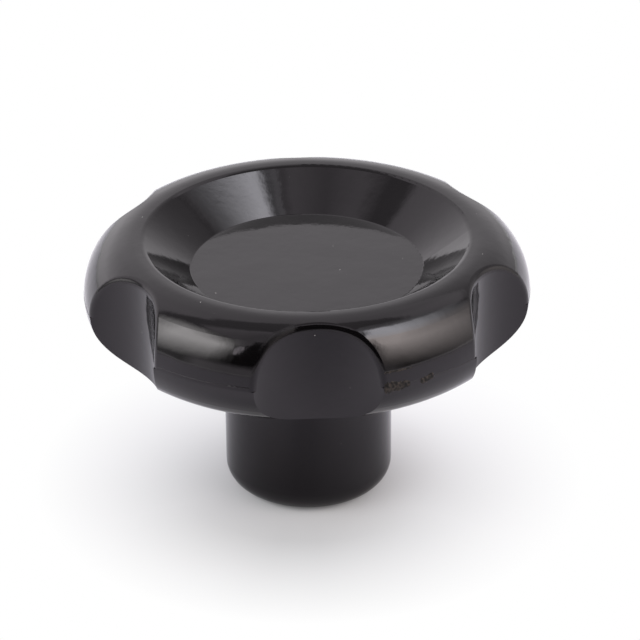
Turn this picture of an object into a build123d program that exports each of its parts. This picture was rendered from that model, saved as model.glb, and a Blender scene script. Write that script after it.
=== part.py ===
from build123d import *
import math
import os

# Clamping knob: a scalloped grip head with a dished top on a round hub, moulded round a brass bush.
# Millimetres, +Z up along the axis, origin at the centre of the hub's bottom face.
# One scallop faces -Y.

# Head across the lobes and the height of its greatest girth
HEAD_DIA = 60.0
GIRTH_HEIGHT = 29.2

# Rim section: two arcs above the girth, two below, each pair tangent at the named turn in degrees
SHOULDER_RADIUS = 8.4
SHOULDER_TURN = 45.5
CREST_RADIUS = 6.4
BELLY_RADIUS = 5.9
BELLY_TURN = 36.0
UNDER_RADIUS = 7.2

# Dished top: rounded edge inside the rim, conical wall, flat disc
RIM_WIDTH = 8.15
DISH_EDGE_ROUND = 1.2
DISH_WALL_RUN = 6.2
DISH_DEPTH = 4.6
DISC_CORNER_ROUND = 0.3

# Finger scallops: upright round flutes, their edges eased in the upper mould half and sharp in the lower
SCALLOP_COUNT = 6
SCALLOP_RADIUS = 11.6
SCALLOP_DEPTH = 4.6
SCALLOP_EDGE_ROUND = 1.0
FIRST_SCALLOP_ANGLE = -90.0

# Blind thread, M10, drawn at its core diameter
THREAD_MAJOR_DIA = 10.0
THREAD_CORE_DIA = 8.5
THREAD_DEPTH = 16.0
DRILL_POINT_ANGLE = 118.0
MOUTH_CHAMFER_ROOM = 0.2

# Brass bush: round collar at the mouth, hexagon body, round waist that the moulding grips
BUSH_WALL = 1.5
BUSH_END_WALL = 1.5
BUSH_COLLAR_LIP = 0.3
BUSH_COLLAR_LENGTH = 1.5
BUSH_WAIST_DEPTH = 0.5
BUSH_WAIST_LENGTH = 3.0

# Hub: flat land round the collar, rounded end, rounded root under the head
HUB_LAND = 0.6
HUB_END_ROUND = 3.0
HUB_ROOT_ROUND = 1.5

# How far a cutting shape runs past the faces it cuts, and how close two sizes count as equal
OVERRUN = 2.0
SAME_SIZE = 1e-6

# Sizes that follow from the ones above
HEAD_RADIUS = HEAD_DIA / 2
DISH_EDGE_RADIUS = HEAD_RADIUS - RIM_WIDTH
DISC_RADIUS = DISH_EDGE_RADIUS - DISH_WALL_RUN
SCALLOP_RING_RADIUS = HEAD_RADIUS - SCALLOP_DEPTH + SCALLOP_RADIUS
CORE_RADIUS = THREAD_CORE_DIA / 2
MOUTH_RADIUS = THREAD_MAJOR_DIA / 2 + MOUTH_CHAMFER_ROOM
DRILL_POINT = CORE_RADIUS / math.tan(math.radians(DRILL_POINT_ANGLE / 2))
BUSH_LENGTH = THREAD_DEPTH + DRILL_POINT + BUSH_END_WALL
BUSH_FLAT_RADIUS = THREAD_MAJOR_DIA / 2 + BUSH_WALL
BUSH_CORNER_RADIUS = BUSH_FLAT_RADIUS / math.cos(math.radians(30))
BUSH_COLLAR_RADIUS = BUSH_CORNER_RADIUS + BUSH_COLLAR_LIP
HUB_RADIUS = BUSH_COLLAR_RADIUS + HUB_LAND + HUB_END_ROUND


def polar(centre, radius, turn):
    """Point at an angle in degrees on a circle in the section plane."""
    angle = math.radians(turn)
    return (centre[0] + radius * math.cos(angle), centre[1] + radius * math.sin(angle))


def arc(centre, radius, start, end):
    """Arc of a circle in the section plane between two angles in degrees."""
    return CenterArc(centre, radius, start, end - start)


def rim_section():
    """Rim outline from under the head, round the girth, to the dish edge, with its two ends."""
    belly = (HEAD_RADIUS - BELLY_RADIUS, GIRTH_HEIGHT)
    under = polar(belly, BELLY_RADIUS - UNDER_RADIUS, -BELLY_TURN)
    shoulder = (HEAD_RADIUS - SHOULDER_RADIUS, GIRTH_HEIGHT)
    crest = polar(shoulder, SHOULDER_RADIUS - CREST_RADIUS, SHOULDER_TURN)
    edge_turn = math.degrees(math.acos((DISH_EDGE_RADIUS - crest[0]) / CREST_RADIUS))
    arcs = [
        arc(under, UNDER_RADIUS, -90, -BELLY_TURN),
        arc(belly, BELLY_RADIUS, -BELLY_TURN, 0),
        arc(shoulder, SHOULDER_RADIUS, 0, SHOULDER_TURN),
        arc(crest, CREST_RADIUS, SHOULDER_TURN, edge_turn),
    ]
    return arcs, polar(under, UNDER_RADIUS, -90), polar(crest, CREST_RADIUS, edge_turn)


def near(vertices, point):
    """The vertex that lies closest to a point of the section."""
    return vertices.sort_by_distance((point[0], point[1], 0))[0]


def turned_blank():
    """Solid of revolution: hub, flat underside, rounded rim, dish wall and centre disc."""
    arcs, underside_end, dish_edge = rim_section()
    hub_root = (HUB_RADIUS, underside_end[1])
    hub_end = (HUB_RADIUS, 0)
    disc_height = dish_edge[1] - DISH_DEPTH
    disc_edge = (DISC_RADIUS, disc_height)
    outline = [
        Line((0, 0), hub_end),
        Line(hub_end, hub_root),
        Line(hub_root, underside_end),
        *arcs,
        Line(dish_edge, disc_edge),
        Line(disc_edge, (0, disc_height)),
        Line((0, disc_height), (0, 0)),
    ]
    section = make_face(outline)
    for corner, radius in (
        (hub_end, HUB_END_ROUND),
        (hub_root, HUB_ROOT_ROUND),
        (dish_edge, DISH_EDGE_ROUND),
        (disc_edge, DISC_CORNER_ROUND),
    ):
        section = fillet(near(section.vertices(), corner), radius)
    return revolve(Plane.XZ * section, Axis.Z)


def scallop_cutters():
    """Upright cylinders that cut the finger scallops right through the rim."""
    height = GIRTH_HEIGHT + SHOULDER_RADIUS + OVERRUN
    cutter = Pos(0, 0, height / 2) * Cylinder(SCALLOP_RADIUS, height)
    ring = PolarLocations(SCALLOP_RING_RADIUS, SCALLOP_COUNT, FIRST_SCALLOP_ANGLE)
    return [place * cutter for place in ring]


def eased_edges(upper_half):
    """Upper mould half with the scallops' edges rounded down to the parting plane."""
    floors = [
        face
        for face in upper_half.faces().filter_by(GeomType.CYLINDER)
        if abs(face.radius - SCALLOP_RADIUS) < SAME_SIZE
    ]
    rims = ShapeList(
        edge
        for floor in floors
        for edge in floor.edges()
        if edge.center().Z - GIRTH_HEIGHT > SAME_SIZE
    )
    return fillet(rims, SCALLOP_EDGE_ROUND)


def scalloped_head():
    """Turned blank with the scallops cut, parted at the girth as the mould is, its upper edges eased."""
    head = turned_blank() - scallop_cutters()
    parting = Plane.XY.offset(GIRTH_HEIGHT)
    upper_half = split(head, parting, keep=Keep.TOP)
    lower_half = split(head, parting, keep=Keep.BOTTOM)
    return eased_edges(upper_half) + lower_half


def bush_blank():
    """Outside of the brass bush, unbored; the moulding's cavity has the same faces."""
    collar = extrude(Circle(BUSH_COLLAR_RADIUS), BUSH_COLLAR_LENGTH)
    hexagon = extrude(RegularPolygon(BUSH_CORNER_RADIUS, 6), BUSH_LENGTH)
    groove = Circle(BUSH_CORNER_RADIUS + OVERRUN) - Circle(BUSH_FLAT_RADIUS - BUSH_WAIST_DEPTH)
    waist_height = (BUSH_COLLAR_LENGTH + BUSH_LENGTH - BUSH_WAIST_LENGTH) / 2
    waist = Pos(0, 0, waist_height) * extrude(groove, BUSH_WAIST_LENGTH)
    return collar + (hexagon - waist)


def threaded_bore():
    """Blind bore at the thread's core diameter with a drill point and a chamfered mouth."""
    outline = Polyline(
        (0, -OVERRUN),
        (MOUTH_RADIUS + OVERRUN, -OVERRUN),
        (CORE_RADIUS, MOUTH_RADIUS - CORE_RADIUS),
        (CORE_RADIUS, THREAD_DEPTH),
        (0, THREAD_DEPTH + DRILL_POINT),
        close=True,
    )
    return revolve(Plane.XZ * make_face(outline), Axis.Z)


os.makedirs("parts", exist_ok=True)
bush = bush_blank()
export_step(scalloped_head() - bush, "parts/knob_body.step")
export_step(bush - threaded_bore(), "parts/threaded_insert.step")
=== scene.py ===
import bmesh
import bpy
import math
import numpy as np
from mathutils import Matrix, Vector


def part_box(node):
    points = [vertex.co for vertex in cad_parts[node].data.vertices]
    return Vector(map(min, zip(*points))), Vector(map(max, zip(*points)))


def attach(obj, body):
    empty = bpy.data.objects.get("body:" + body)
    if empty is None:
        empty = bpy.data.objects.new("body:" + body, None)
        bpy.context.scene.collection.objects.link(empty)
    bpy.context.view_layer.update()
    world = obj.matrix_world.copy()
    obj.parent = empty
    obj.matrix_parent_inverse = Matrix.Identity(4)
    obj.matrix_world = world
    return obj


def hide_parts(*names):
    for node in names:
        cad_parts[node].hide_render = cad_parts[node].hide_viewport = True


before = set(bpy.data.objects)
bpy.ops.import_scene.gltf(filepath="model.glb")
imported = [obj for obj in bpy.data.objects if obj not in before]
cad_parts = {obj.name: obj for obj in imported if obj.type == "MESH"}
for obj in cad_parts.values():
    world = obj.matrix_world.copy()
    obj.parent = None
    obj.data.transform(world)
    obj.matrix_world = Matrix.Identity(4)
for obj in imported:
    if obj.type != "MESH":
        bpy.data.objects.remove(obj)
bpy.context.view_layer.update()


# Threaded bush: hexagonal brass bar, turned with a collar and a waist, drilled and tapped M10.
# It stands in the mould before the plastic is pressed, so only its collar face and thread can be seen.
bush_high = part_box("threaded_insert")[1]
bush_length = bush_high.z
collar_radius = bush_high.x
collar_length = 0.0015
flat_radius = 0.0065
waist_radius = 0.0060
waist_length = 0.0030
thread_major = 0.0050
thread_core = 0.00425
thread_pitch = 0.0015
thread_end = 0.0150
crest_flat_share = 0.25
root_flat_share = 0.125
mouth_radius = 0.0052
bore_depth = 0.0160
drill_half_angle = math.radians(59.0)
bush_columns = 120
bore_rows = 190


def hexagon_radius(angle):
    """Radius of a hexagon with a corner at angle zero: its flat's distance over the cosine off the flat."""
    off_flat = np.mod(angle, math.pi / 3) - math.pi / 6
    return flat_radius / np.cos(off_flat)


def tapped_radius(angle, height):
    """Bore radius: core plus a 60 degree groove that climbs one pitch a turn, opened by a 45 degree mouth.

    Across one pitch the groove is open outside the crest's flat, and full depth over the root's flat.
    """
    turn = np.mod(height / thread_pitch - angle / (2 * math.pi), 1.0)
    half_open = (1.0 - crest_flat_share) / 2
    flank = half_open - root_flat_share / 2
    groove = np.clip((half_open - np.abs(turn - 0.5)) / flank, 0.0, 1.0)
    runout = np.clip((thread_end - height) / thread_pitch, 0.0, 1.0)
    threaded = thread_core + (thread_major - thread_core) * groove * runout
    return np.maximum(threaded, mouth_radius - height)


def bush_rings():
    """Rings from the top centre down the outside, over the mouth and up the tapped bore to the drill point.

    Each row is one height with a radius for every angle; the outside is hexagon, waist, hexagon, collar.
    """
    angle = np.linspace(0.0, 2 * math.pi, bush_columns, endpoint=False)
    hexagon = hexagon_radius(angle)
    ring = np.ones_like(angle)
    waist_low = (collar_length + bush_length - waist_length) / 2
    waist_high = waist_low + waist_length
    outside = [
        (bush_length, ring * 0.0),
        (bush_length, hexagon),
        (waist_high, hexagon),
        (waist_high, ring * waist_radius),
        (waist_low, ring * waist_radius),
        (waist_low, hexagon),
        (collar_length, hexagon),
        (collar_length, ring * collar_radius),
        (0.0, ring * collar_radius),
        (0.0, ring * mouth_radius),
    ]
    bore_heights = np.linspace(0.0, bore_depth, bore_rows)[1:]
    bore = tapped_radius(angle[None, :], bore_heights[:, None])
    drill_point = bore_depth + thread_core / math.tan(drill_half_angle)
    heights = np.concatenate([[row[0] for row in outside], bore_heights, [drill_point]])
    radii = np.vstack([row[1] for row in outside] + [bore, ring[None, :] * 0.0])
    x = radii * np.cos(angle)
    y = radii * np.sin(angle)
    z = np.broadcast_to(heights[:, None], radii.shape)
    return np.stack([x, y, z], axis=-1)


def closed_skin(rings):
    """Points of a stack of rings and the quads between neighbouring rings, wrapped round."""
    rows, columns = rings.shape[:2]
    index = np.arange(rows * columns).reshape(rows, columns)
    beside = np.roll(index, -1, axis=1)
    quads = np.stack([index[:-1], index[1:], beside[1:], beside[:-1]], axis=-1)
    return rings.reshape(-1, 3), quads.reshape(-1, 4)


def placed(name, data, place=Matrix.Identity(4)):
    """Object that holds a mesh, a lamp or the camera, linked into the scene at its place."""
    holder = bpy.data.objects.new(name, data)
    holder.matrix_world = place
    bpy.context.scene.collection.objects.link(holder)
    return holder


def make_piece(name, points, quads, material, sharp_degrees=30.0):
    """Mesh object at the origin from points and quads: doubles merged, smooth up to the sharp angle."""
    same_point = 1e-9
    mesh = bpy.data.meshes.new(name)
    mesh.from_pydata(points, [], quads)
    shell = bmesh.new()
    shell.from_mesh(mesh)
    bmesh.ops.remove_doubles(shell, verts=shell.verts, dist=same_point)
    bmesh.ops.dissolve_degenerate(shell, edges=shell.edges, dist=same_point)
    bmesh.ops.recalc_face_normals(shell, faces=shell.faces)
    shell.to_mesh(mesh)
    shell.free()
    mesh.polygons.foreach_set("use_smooth", np.ones(len(mesh.polygons), dtype=bool))
    mesh.set_sharp_from_angle(angle=math.radians(sharp_degrees))
    mesh.materials.append(material)
    return placed(name, mesh)


def new_material(name):
    """Node material with its tree, its shader and its Object coordinates."""
    material = bpy.data.materials.new(name)
    material.use_nodes = True
    tree = material.node_tree
    shader = tree.nodes["Principled BSDF"]
    place = tree.nodes.new("ShaderNodeTexCoord").outputs["Object"]
    return material, tree, shader, place


def noise(tree, place, scale, detail=2.0, roughness=0.5):
    """Noise value over the object, about 0 to 1, with scale in bumps a metre."""
    node = tree.nodes.new("ShaderNodeTexNoise")
    node.inputs["Scale"].default_value = scale
    node.inputs["Detail"].default_value = detail
    node.inputs["Roughness"].default_value = roughness
    tree.links.new(place, node.inputs["Vector"])
    return node.outputs["Fac"]


def ranged(tree, value, low, high, to_low, to_high):
    """Value carried from one range to another, held at the ends."""
    node = tree.nodes.new("ShaderNodeMapRange")
    for socket, number in zip(("From Min", "From Max", "To Min", "To Max"), (low, high, to_low, to_high)):
        node.inputs[socket].default_value = number
    tree.links.new(value, node.inputs["Value"])
    return node.outputs["Result"]


def mixed(tree, share, first, second):
    """Colour between two colours or colour sockets, by a share from 0 to 1."""
    node = tree.nodes.new("ShaderNodeMix")
    node.data_type = "RGBA"
    tree.links.new(share, node.inputs["Factor"])
    colour_inputs = [socket for socket in node.inputs if socket.type == "RGBA"]
    for socket, colour in zip(colour_inputs, (first, second)):
        if isinstance(colour, tuple):
            socket.default_value = (*colour, 1.0)
        else:
            tree.links.new(colour, socket)
    return next(socket for socket in node.outputs if socket.type == "RGBA")


def bumped(tree, height, metres, shader):
    """Bump on the shader, where a height of 1 stands that many metres proud."""
    node = tree.nodes.new("ShaderNodeBump")
    node.inputs["Strength"].default_value = 1.0
    node.inputs["Distance"].default_value = metres
    tree.links.new(height, node.inputs["Height"])
    tree.links.new(node.outputs["Normal"], shader.inputs["Normal"])


def turned_brass():
    """Drawn and machined brass: warm yellow with faint tarnish and fine turning marks."""
    material, tree, shader, place = new_material("turned_brass")
    bright = (0.72, 0.50, 0.20)
    dull = (0.52, 0.33, 0.12)
    mark_height = 0.000004
    tarnish = noise(tree, place, 260.0, detail=4.0, roughness=0.6)
    colour = mixed(tree, ranged(tree, tarnish, 0.35, 0.75, 0.0, 1.0), bright, dull)
    tree.links.new(colour, shader.inputs["Base Color"])
    tree.links.new(ranged(tree, tarnish, 0.3, 0.7, 0.22, 0.42), shader.inputs["Roughness"])
    shader.inputs["Metallic"].default_value = 1.0
    bumped(tree, noise(tree, place, 5000.0, detail=1.0), mark_height, shader)
    return material


bush = make_piece("brass_bush", *closed_skin(bush_rings()), turned_brass())
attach(bush, "root")
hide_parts("threaded_insert")


# Knob body: one compression moulding in black thermosetting plastic, with hub, scalloped rim and dish.
# The mould is polished, so the skin is glossy; it keeps a slight sink and flow, and fine dust lies on it.
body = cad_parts["knob_body"]
head_radius = 0.0300
scallop_depth = 0.0046
flute_radius = 0.0116
flute_offset = head_radius - scallop_depth + flute_radius


def sums(tree, operation, first, second=None):
    """One Math node on sockets or numbers."""
    node = tree.nodes.new("ShaderNodeMath")
    node.operation = operation
    for socket, value in zip(node.inputs, (first, second)):
        if isinstance(value, (int, float)):
            socket.default_value = value
        elif value is not None:
            tree.links.new(value, socket)
    return node.outputs["Value"]


def product(tree, *values):
    """Sockets and numbers multiplied together."""
    total = values[0]
    for value in values[1:]:
        total = sums(tree, "MULTIPLY", total, value)
    return total


def axes(tree, place):
    """The x, y and z of a place or a direction."""
    split = tree.nodes.new("ShaderNodeSeparateXYZ")
    tree.links.new(place, split.inputs["Vector"])
    return [split.outputs[axis] for axis in "XYZ"]


def level_distance(tree, x, y):
    """Distance from an upright axis: the root of the sum of the two squares."""
    return sums(tree, "SQRT", sums(tree, "ADD", product(tree, x, x), product(tree, y, y)))


def dust_group():
    """Shared effect: mask of fine pale dust, dots of uneven size on a sparse three-dimensional scatter."""
    group = bpy.data.node_groups.new("fine_dust", "ShaderNodeTree")
    for name, way in (("Spacing", "INPUT"), ("Size", "INPUT"), ("Dust", "OUTPUT")):
        group.interface.new_socket(name, in_out=way, socket_type="NodeSocketFloat")
    entry = group.nodes.new("NodeGroupInput")
    leave = group.nodes.new("NodeGroupOutput")
    place = group.nodes.new("ShaderNodeTexCoord").outputs["Object"]
    cells = group.nodes.new("ShaderNodeTexVoronoi")
    group.links.new(place, cells.inputs["Vector"])
    group.links.new(entry.outputs["Spacing"], cells.inputs["Scale"])
    grain = group.nodes.new("ShaderNodeSeparateColor")
    group.links.new(cells.outputs["Color"], grain.inputs["Color"])
    dot_radius = sums(group, "MULTIPLY", entry.outputs["Size"], grain.outputs["Red"])
    dot = sums(group, "LESS_THAN", cells.outputs["Distance"], dot_radius)
    group.links.new(dot, leave.inputs["Dust"])
    return group


fine_dust = dust_group()


def dusted(tree, spacing, size):
    """The dust mask in one material, with its own spacing in cells a metre and largest dot in cells."""
    node = tree.nodes.new("ShaderNodeGroup")
    node.node_tree = fine_dust
    node.inputs["Spacing"].default_value = spacing
    node.inputs["Size"].default_value = size
    return node.outputs["Dust"]


def rubbed_edge(tree, place):
    """Mask of the front scallop's upper left edge, dulled by handling: just outside the flute's cylinder."""
    x, y, z = axes(tree, place)
    from_axis = level_distance(tree, x, sums(tree, "ADD", y, flute_offset))
    flute_side = ranged(tree, from_axis, flute_radius, flute_radius + 0.0001, 0.0, 1.0)
    rim_side = ranged(tree, from_axis, flute_radius + 0.0007, flute_radius + 0.0011, 1.0, 0.0)
    right_end = ranged(tree, x, -0.0030, -0.0019, 1.0, 0.0)
    left_end = ranged(tree, x, -0.0078, -0.0060, 0.25, 1.0)
    above_girth = ranged(tree, z, 0.0294, 0.0300, 0.0, 1.0)
    return product(tree, flute_side, rim_side, right_end, left_end, above_girth)


def black_gloss():
    """Pressed black plastic: near-black, polished, faintly wavy, with a little dust and one rubbed edge."""
    material, tree, shader, place = new_material("black_gloss")
    deep = (0.0013, 0.0011, 0.0013)
    smoke = (0.0022, 0.0019, 0.0021)
    pale_dust = (0.30, 0.29, 0.28)
    rubbed_roughness = 0.34
    flow_height = 0.00004
    ripple_height = 0.00001
    flow = noise(tree, place, 150.0)
    ripple = noise(tree, place, 900.0)
    skin = mixed(tree, ranged(tree, flow, 0.3, 0.7, 0.0, 1.0), deep, smoke)
    dust = dusted(tree, spacing=420.0, size=0.038)
    tree.links.new(mixed(tree, dust, skin, pale_dust), shader.inputs["Base Color"])
    polish = ranged(tree, noise(tree, place, 1400.0, detail=3.0), 0.3, 0.7, 0.06, 0.09)
    dulled = product(tree, rubbed_edge(tree, place), rubbed_roughness)
    tree.links.new(sums(tree, "MAXIMUM", polish, dulled), shader.inputs["Roughness"])
    shader.inputs["IOR"].default_value = 1.47
    shader.inputs["Specular Tint"].default_value = (1.0, 0.94, 1.0, 1.0)
    swell = sums(tree, "ADD", product(tree, flow, flow_height), product(tree, ripple, ripple_height))
    bumped(tree, swell, 1.0, shader)
    return material


body_skin = black_gloss()
body.data.materials.clear()
body.data.materials.append(body_skin)


# Parting flash: the thin fin of plastic that the mould halves leave round each lobe, filed back by hand.
# It is the body's own plastic; a short stub of it stands on the front left lobe.
girth_height = 0.0292
belly_radius = 0.0059
shoulder_radius = 0.0084
lobe_count = 6
lobe_pitch = 360.0 / lobe_count
front_left_turn = -120.0
lobe_half_turn = 13.2
line_height = 0.0293
front_left_line_height = 0.02963
line_half_height = 0.00004
line_proud = 0.000018


def lobe_radius(height):
    """Radius of the rim's skin near the girth: the belly's arc below it, the shoulder's arc above."""
    arc = np.where(height < girth_height, belly_radius, shoulder_radius)
    return head_radius - arc + np.sqrt(arc ** 2 - (height - girth_height) ** 2)


def flash_strip(span, heights, half_heights, proud, ruffle):
    """Strip along a lobe: an ellipse section laid on the rim's skin between two angles in degrees.

    Its middle and half height run straight from end to end, a tenth power rounds off its ends, and sines of
    the place along and round it ruffle the side that stands proud. The other side is bedded in the skin.
    """
    bed = 0.00003
    columns = 16
    rows_a_degree = 16
    least_rows = 8
    rows = int(abs(span[1] - span[0]) * rows_a_degree) + least_rows
    along = np.linspace(0.0, 1.0, rows)[:, None]
    round_turn = np.linspace(0.0, 2 * math.pi, columns, endpoint=False)[None, :]
    degrees = span[0] + (span[1] - span[0]) * along
    taper = np.sqrt(np.clip(1.0 - np.abs(2 * along - 1) ** 10, 0.0, 1.0))
    slow = 0.5 * np.sin(2.9 * degrees + 2.2 * np.sin(1.3 * degrees))
    middle = 0.3 * np.sin(6.1 * degrees + 3 * round_turn)
    quick = 0.2 * np.sin(11.3 * degrees - 2 * round_turn + 3 * np.sin(2.3 * degrees))
    ragged = 1.0 + ruffle * (slow + middle + quick)
    half = half_heights[0] + (half_heights[1] - half_heights[0]) * along
    edge = 1.0 + 0.3 * ruffle * np.sin(3.7 * degrees + round_turn + 2.0 * np.sin(1.9 * degrees))
    height = heights[0] + (heights[1] - heights[0]) * along + half * taper * edge * np.sin(round_turn)
    outward = np.cos(round_turn)
    lift = np.where(outward > 0, proud * taper * ragged, bed) * outward
    angle = np.radians(degrees)
    radius = lobe_radius(height) + lift
    return np.stack([radius * np.cos(angle), radius * np.sin(angle), height], axis=-1)


def joined_skins(strips):
    """Points and quads of several strips as one mesh."""
    points = []
    quads = []
    count = 0
    for strip in strips:
        strip_points, strip_quads = closed_skin(strip)
        points.append(strip_points)
        quads.append(strip_quads + count)
        count += len(strip_points)
    return np.vstack(points), np.vstack(quads)


strips = []
for lobe in range(lobe_count):
    centre = front_left_turn + lobe_pitch * lobe
    height = front_left_line_height if lobe == 0 else line_height
    strips.append(flash_strip(
        span=(centre - lobe_half_turn, centre + lobe_half_turn),
        heights=(height, height),
        half_heights=(line_half_height, line_half_height),
        proud=line_proud,
        ruffle=0.5,
    ))
strips.append(flash_strip(
    span=(-112.4, -106.9),
    heights=(0.02968, 0.02972),
    half_heights=(0.00012, 0.00010),
    proud=0.00009,
    ruffle=0.25,
))
flash = make_piece("parting_flash", *joined_skins(strips), body_skin, sharp_degrees=60.0)
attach(flash, "root")


# Torn flash: on the front right lobe the fin broke away and left a ragged scab, a scuff and a scratch.
# It is the same plastic, raw and brownish where the glossy skin is gone.
def raw_plastic():
    """Broken plastic without its skin: dark brown to grey in small grains, rough."""
    material, tree, shader, place = new_material("raw_plastic")
    dark = (0.004, 0.003, 0.0026)
    pale = (0.055, 0.044, 0.038)
    grain_height = 0.00004
    grain = noise(tree, place, 2600.0, detail=3.0, roughness=0.6)
    colour = mixed(tree, ranged(tree, grain, 0.42, 0.66, 0.0, 1.0), dark, pale)
    tree.links.new(colour, shader.inputs["Base Color"])
    tree.links.new(ranged(tree, grain, 0.3, 0.7, 0.45, 0.75), shader.inputs["Roughness"])
    shader.inputs["Specular IOR Level"].default_value = 0.22
    bumped(tree, grain, grain_height, shader)
    return material


scab = flash_strip(
    span=(-73.9, -66.9),
    heights=(0.02915, 0.02908),
    half_heights=(0.00085, 0.00045),
    proud=0.00007,
    ruffle=0.6,
)
scuff = flash_strip(
    span=(-64.1, -60.3),
    heights=(0.02900, 0.02925),
    half_heights=(0.00040, 0.00048),
    proud=0.00004,
    ruffle=0.9,
)
scratch = flash_strip(
    span=(-73.7, -66.0),
    heights=(0.03125, 0.03122),
    half_heights=(0.00014, 0.00006),
    proud=0.00002,
    ruffle=0.8,
)
torn = make_piece("torn_flash", *joined_skins([scab, scuff, scratch]), raw_plastic(), sharp_degrees=60.0)
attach(torn, "root")


# Table: a plain pale sheet that the knob stands on, far wider than the view.
# Near the knob it shows its own light, the knob's shadow and a painted shade in front; further off it runs
# out into white.
# It is clear from beneath and under the hub's flat end, so that the knob's underside can be seen and lit.
table_half = 20.0
table_level = -0.00002
clear_radius = 0.0082
view_turn = math.radians(-2.9)
corners = [(x * table_half, y * table_half, table_level) for x, y in ((-1, -1), (1, -1), (1, 1), (-1, 1))]
table_mesh = bpy.data.meshes.new("table")
table_mesh.from_pydata(corners, [], [(0, 1, 2, 3)])
table = placed("table", table_mesh)


def bearings(tree, place):
    """Azimuth and elevation of a place or a direction, in degrees, to the right of the camera and up."""
    x, y, z = axes(tree, place)
    turn = sums(tree, "ARCTAN2", x, product(tree, y, -1.0))
    rise = sums(tree, "ARCTAN2", z, level_distance(tree, x, y))
    azimuth = sums(tree, "SUBTRACT", sums(tree, "DEGREES", turn), math.degrees(view_turn))
    return azimuth, sums(tree, "DEGREES", rise)


def blended(tree, share, first, second):
    """Shader between two shaders, by a share from 0 to 1."""
    node = tree.nodes.new("ShaderNodeMixShader")
    for socket, value in zip(node.inputs, (share, first, second)):
        tree.links.new(value, socket)
    return node.outputs["Shader"]


def painted_front_shade(tree, place, reach):
    """Share of the shade painted into the paper in front of the knob: under its head, and again out towards
    the dark room.
    """
    shade_middle = -4.0
    azimuth, _ = bearings(tree, place)
    off_middle = sums(tree, "ABSOLUTE", sums(tree, "SUBTRACT", azimuth, shade_middle))
    in_front = ranged(tree, off_middle, 8.0, 61.0, 1.0, 0.0)
    past_hub = ranged(tree, reach, 0.011, 0.018, 0.0, 1.0)
    under_head = ranged(tree, reach, 0.042, 0.062, 1.0, 0.2)
    towards_room = ranged(tree, reach, 0.066, 0.088, 0.2, 0.95)
    return product(tree, in_front, past_hub, sums(tree, "MAXIMUM", under_head, towards_room))


def pale_sheet():
    """Matt pale paper with painted shade in front; it turns white with distance, to the eye and in
    reflections.
    """
    material, tree, shader, place = new_material("pale_sheet")
    paper = (0.61, 0.60, 0.645)
    # Painted shade: this darker paper colour stands in for the head's shadow and the dark room in front of
    # the knob.
    shaded = (0.39, 0.384, 0.42)
    length = tree.nodes.new("ShaderNodeVectorMath")
    length.operation = "LENGTH"
    tree.links.new(place, length.inputs[0])
    reach = length.outputs["Value"]
    # Painted shade: the paper's colour darkens in front of the knob by the painted front shade share.
    tree.links.new(mixed(tree, painted_front_shade(tree, place, reach), paper, shaded), shader.inputs["Base Color"])
    shader.inputs["Roughness"].default_value = 0.9
    shader.inputs["Specular IOR Level"].default_value = 0.0
    path = tree.nodes.new("ShaderNodeLightPath").outputs
    to_eye = product(tree, path["Is Camera Ray"], ranged(tree, reach, 0.006, 0.038, 0.0, 1.0))
    mirrored = sums(tree, "MAXIMUM", path["Is Glossy Ray"], path["Is Transmission Ray"])
    to_mirror = product(tree, mirrored, ranged(tree, reach, 0.40, 1.20, 0.0, 1.0))
    white = tree.nodes.new("ShaderNodeEmission").outputs["Emission"]
    sheet = blended(tree, sums(tree, "MAXIMUM", to_eye, to_mirror), shader.outputs["BSDF"], white)
    beneath = tree.nodes.new("ShaderNodeNewGeometry").outputs["Backfacing"]
    open_share = sums(tree, "MAXIMUM", beneath, sums(tree, "LESS_THAN", reach, clear_radius))
    clear = tree.nodes.new("ShaderNodeBsdfTransparent").outputs["BSDF"]
    tree.links.new(blended(tree, open_share, sheet, clear), tree.nodes["Material Output"].inputs["Surface"])
    return material


table_mesh.materials.append(pale_sheet())


# Studio: two tall soft boxes at the sides, a white sweep behind, a pale ceiling, a low card and a bright
# strip at the front left, and a dark room round the camera. A broad lamp from behind evens the table's light.
# Angles are in degrees as seen from the knob: azimuth to the right of the camera, and elevation.
box_distance = 0.7
box_white = (0.99, 1.01, 0.955)
box_warm = (1.0, 0.945, 0.87)
box_cool = (1.0, 1.045, 1.06)


def slanted(tree, first, second, slope):
    """The first angle plus a slope times the second, so that an edge can lean."""
    return sums(tree, "ADD", first, product(tree, second, slope))


def left_glow(tree, azimuth, elevation):
    """Share of the left box's light: faded at its edges, its foot rising towards the camera."""
    foot_rise = ranged(tree, azimuth, -80.0, -48.0, 0.0, 10.0)
    head_drop = ranged(tree, azimuth, -66.0, -46.0, 0.0, 3.0)
    near_edge = ranged(tree, azimuth, -52.0, -41.0, 1.0, 0.08)
    far_edge = ranged(tree, azimuth, -100.0, -79.0, 0.1, 1.0)
    foot = ranged(tree, sums(tree, "SUBTRACT", elevation, foot_rise), 5.0, 33.0, 0.04, 1.0)
    head = ranged(tree, sums(tree, "ADD", elevation, head_drop), 44.0, 56.0, 1.0, 0.1)
    return product(tree, near_edge, far_edge, foot, head)


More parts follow.
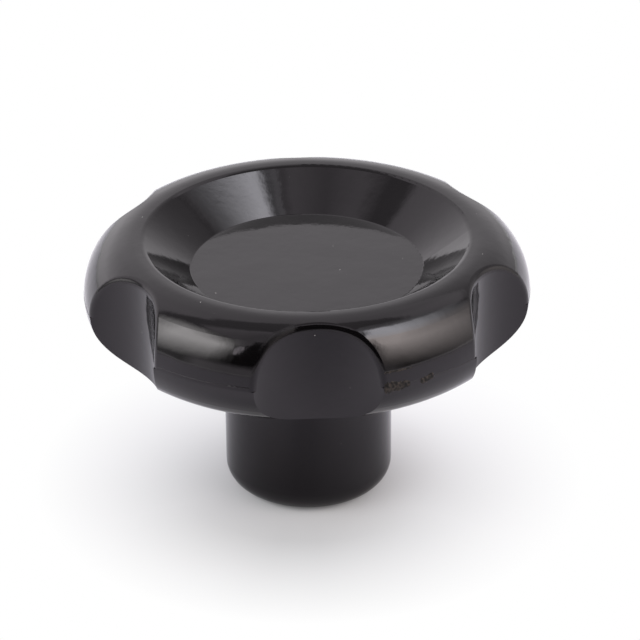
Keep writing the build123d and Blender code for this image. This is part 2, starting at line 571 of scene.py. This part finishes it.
def right_glow(tree, azimuth, elevation):
    """Share of the right box's light: near edge leaning out, head climbing away, far side fading."""
    far = sums(tree, "SUBTRACT", azimuth, ranged(tree, elevation, 45.0, 75.0, 0.0, 39.0))
    near_edge = ranged(tree, slanted(tree, azimuth, elevation, -0.25), 28.0, 35.0, 0.0, 1.0)
    far_fade = ranged(tree, far, 54.0, 100.0, 1.0, 0.22)
    far_edge = ranged(tree, far, 100.0, 122.0, 1.0, 0.0)
    foot = ranged(tree, slanted(tree, elevation, azimuth, 0.35), 23.0, 63.0, 0.1, 1.0)
    soft_foot = sums(tree, "POWER", foot, 1.5)
    head = ranged(tree, slanted(tree, elevation, azimuth, -0.3), 47.0, 52.0, 1.0, 0.1)
    far_head = ranged(tree, slanted(tree, elevation, azimuth, 0.4), 105.0, 113.0, 1.0, 0.3)
    far_corner = ranged(tree, slanted(tree, elevation, azimuth, 0.7), 132.0, 137.0, 1.0, 0.35)
    return product(tree, near_edge, far_fade, far_edge, soft_foot, head, far_head, far_corner)


def soft_box(name, span, top, near_colour, far_colour, radiance, glow):
    """Upright area lamp over a span of azimuth, from the table up to an elevation, shaded by its glow."""
    half = math.radians(abs(span[1] - span[0]) / 2)
    lamp = bpy.data.lights.new(name, "AREA")
    lamp.shape = "RECTANGLE"
    lamp.size = 2 * box_distance * math.tan(half)
    lamp.size_y = box_distance * math.tan(math.radians(top))
    lamp.energy = radiance * math.pi * lamp.size * lamp.size_y
    lamp.use_nodes = True
    tree = lamp.node_tree
    azimuth, elevation = bearings(tree, tree.nodes.new("ShaderNodeNewGeometry").outputs["Position"])
    emission = tree.nodes["Emission"]
    tree.links.new(glow(tree, azimuth, elevation), emission.inputs["Strength"])
    far_up = ranged(tree, slanted(tree, elevation, azimuth, 0.35), 74.0, 86.0, 0.0, 1.0)
    tree.links.new(mixed(tree, far_up, near_colour, far_colour), emission.inputs["Color"])
    stand = Matrix.Translation((0.0, -box_distance, lamp.size_y / 2)) @ Matrix.Rotation(math.pi / 2, 4, "X")
    turn = Matrix.Rotation(math.radians(sum(span) / 2) + view_turn, 4, "Z")
    holder = placed(name, lamp, turn @ stand)
    holder.visible_camera = False


soft_box("left_box", (-38.0, -102.0), 58.0, box_white, box_white, 6.5, left_glow)
soft_box("right_box", (34.0, 122.0), 78.0, box_warm, box_cool, 6.25, right_glow)

broad_lamp = bpy.data.lights.new("table_lamp", "AREA")
broad_lamp.shape = "RECTANGLE"
broad_lamp.size = 1.0
broad_lamp.size_y = 0.7
broad_lamp.energy = 5.0
broad_lamp.color = (0.96, 0.95, 1.0)
lean_back = Matrix.Rotation(math.radians(-26.0), 4, "X")
overhead = Matrix.Translation((0.0, 0.0, 0.9))
table_lamp = placed("table_lamp", broad_lamp, lean_back @ overhead)
table_lamp.visible_camera = False
table_lamp.visible_glossy = False


def dark_room(tree, azimuth):
    """Glow of the room: dark round the camera, paler to the sides and behind."""
    off_camera = sums(tree, "ABSOLUTE", azimuth)
    return ranged(tree, off_camera, 45.0, 90.0, 0.025, 0.42)


def white_sweep(tree, azimuth, elevation):
    """Glow of the sweep: dimmer low at its right, brighter towards its left, and fading as it climbs."""
    turn = sums(tree, "FLOORED_MODULO", azimuth, 360.0)
    right_end = ranged(tree, turn, 112.0, 126.0, 0.0, 1.0)
    right_low = ranged(tree, turn, 138.0, 182.0, 0.58, 1.0)
    high = ranged(tree, elevation, 39.0, 45.0, 0.0, 1.0)
    right_high = product(tree, ranged(tree, turn, 143.0, 158.0, 1.2, 1.0), high)
    right_side = sums(tree, "MAXIMUM", right_low, right_high)
    middle_gain = ranged(tree, turn, 186.0, 200.0, 1.0, 1.13)
    left_gain = ranged(tree, turn, 205.0, 228.0, 1.0, 1.15)
    left_lean = ranged(tree, elevation, 44.0, 62.0, 0.0, 14.0)
    left_end = ranged(tree, sums(tree, "ADD", turn, left_lean), 247.0, 258.0, 1.0, 0.0)
    horizon = ranged(tree, elevation, 0.0, 11.0, 0.75, 1.0)
    climb = ranged(tree, elevation, 8.0, 36.0, 1.24, 0.89)
    top = ranged(tree, elevation, 61.0, 67.0, 1.0, 0.0)
    return product(tree, right_end, right_side, middle_gain, left_gain, left_end, horizon, climb, top)


def pale_ceiling(tree, azimuth, elevation):
    """Glow of the ceiling: its edge dips beside the left box and lifts in front, and it dims to the rear."""
    dip = ranged(tree, azimuth, -56.0, -44.0, 56.0, 46.0)
    edge = sums(tree, "ADD", dip, ranged(tree, azimuth, -39.0, -29.0, 0.0, 27.0))
    above_edge = ranged(tree, sums(tree, "SUBTRACT", elevation, edge), 0.0, 3.0, 0.0, 1.0)
    left_fade = ranged(tree, azimuth, -84.0, -50.0, 1.0, 0.69)
    across = sums(tree, "ADD", left_fade, ranged(tree, azimuth, -50.0, 35.0, 0.0, 0.33))
    right_fade = ranged(tree, azimuth, 36.0, 52.0, 1.0, 0.72)
    rear_fade = ranged(tree, sums(tree, "ABSOLUTE", azimuth), 88.0, 102.0, 1.0, 0.43)
    return product(tree, above_edge, across, right_fade, rear_fade)


def low_card(tree, azimuth, elevation):
    """Glow of the low card in front: brighter at its left, with a soft top."""
    left_end = ranged(tree, azimuth, -66.0, -56.0, 0.0, 0.8)
    fade = ranged(tree, azimuth, -20.0, 15.0, 1.0, 0.4)
    right_end = ranged(tree, azimuth, 42.0, 50.0, 1.0, 0.0)
    top = ranged(tree, elevation, 8.0, 17.0, 1.0, 0.0)
    return product(tree, left_end, fade, right_end, top)


def bright_strip(tree, azimuth, elevation):
    """Glow of the narrow upright strip, brightest along its middle."""
    strip_middle = -39.7
    off_middle = sums(tree, "ABSOLUTE", sums(tree, "SUBTRACT", azimuth, strip_middle))
    across = ranged(tree, off_middle, 0.8, 2.6, 2.4, 0.0)
    foot = ranged(tree, elevation, 30.0, 34.0, 0.0, 1.0)
    top = ranged(tree, elevation, 45.0, 49.0, 1.0, 0.0)
    return product(tree, across, foot, top)


world = bpy.data.worlds.new("studio")
bpy.context.scene.world = world
world.use_nodes = True
tree = world.node_tree
azimuth, elevation = bearings(tree, tree.nodes.new("ShaderNodeTexCoord").outputs["Generated"])
seen = dark_room(tree, azimuth)
for glow in (white_sweep, pale_ceiling, low_card, bright_strip):
    seen = sums(tree, "MAXIMUM", glow(tree, azimuth, elevation), seen)
background = tree.nodes["Background"]
background.inputs["Color"].default_value = (1.0, 0.97, 1.0, 1.0)
tree.links.new(seen, background.inputs["Strength"])
plain = tree.nodes.new("ShaderNodeBackground")
plain.inputs["Color"].default_value = (1.0, 1.0, 1.0, 1.0)
to_eye = tree.nodes.new("ShaderNodeLightPath").outputs["Is Camera Ray"]
all_round = blended(tree, to_eye, background.outputs["Background"], plain.outputs["Background"])
tree.links.new(all_round, tree.nodes["World Output"].inputs["Surface"])


# Camera: a long lens a little under half a metre off, looking down on the knob from the front,
# a touch from its left, so that one scallop faces it almost squarely.
stand_off = 0.42795
raised = math.radians(28.21)
aside = 0.00171
aim_height = 0.022
tip = math.radians(-0.24)
roll = math.radians(-0.47)
long_lens = bpy.data.cameras.new("camera")
long_lens.sensor_width = 36.0
long_lens.lens = 177.26
long_lens.clip_start = 0.01
long_lens.clip_end = 100.0
stand = Matrix.Translation((aside, -stand_off * math.cos(raised), aim_height + stand_off * math.sin(raised)))
tilt = Matrix.Rotation(math.pi / 2 - raised - tip, 4, "X") @ Matrix.Rotation(roll, 4, "Z")
bpy.context.scene.camera = placed("camera", long_lens, Matrix.Rotation(view_turn, 4, "Z") @ stand @ tilt)
bpy.context.scene.view_settings.view_transform = "Standard"
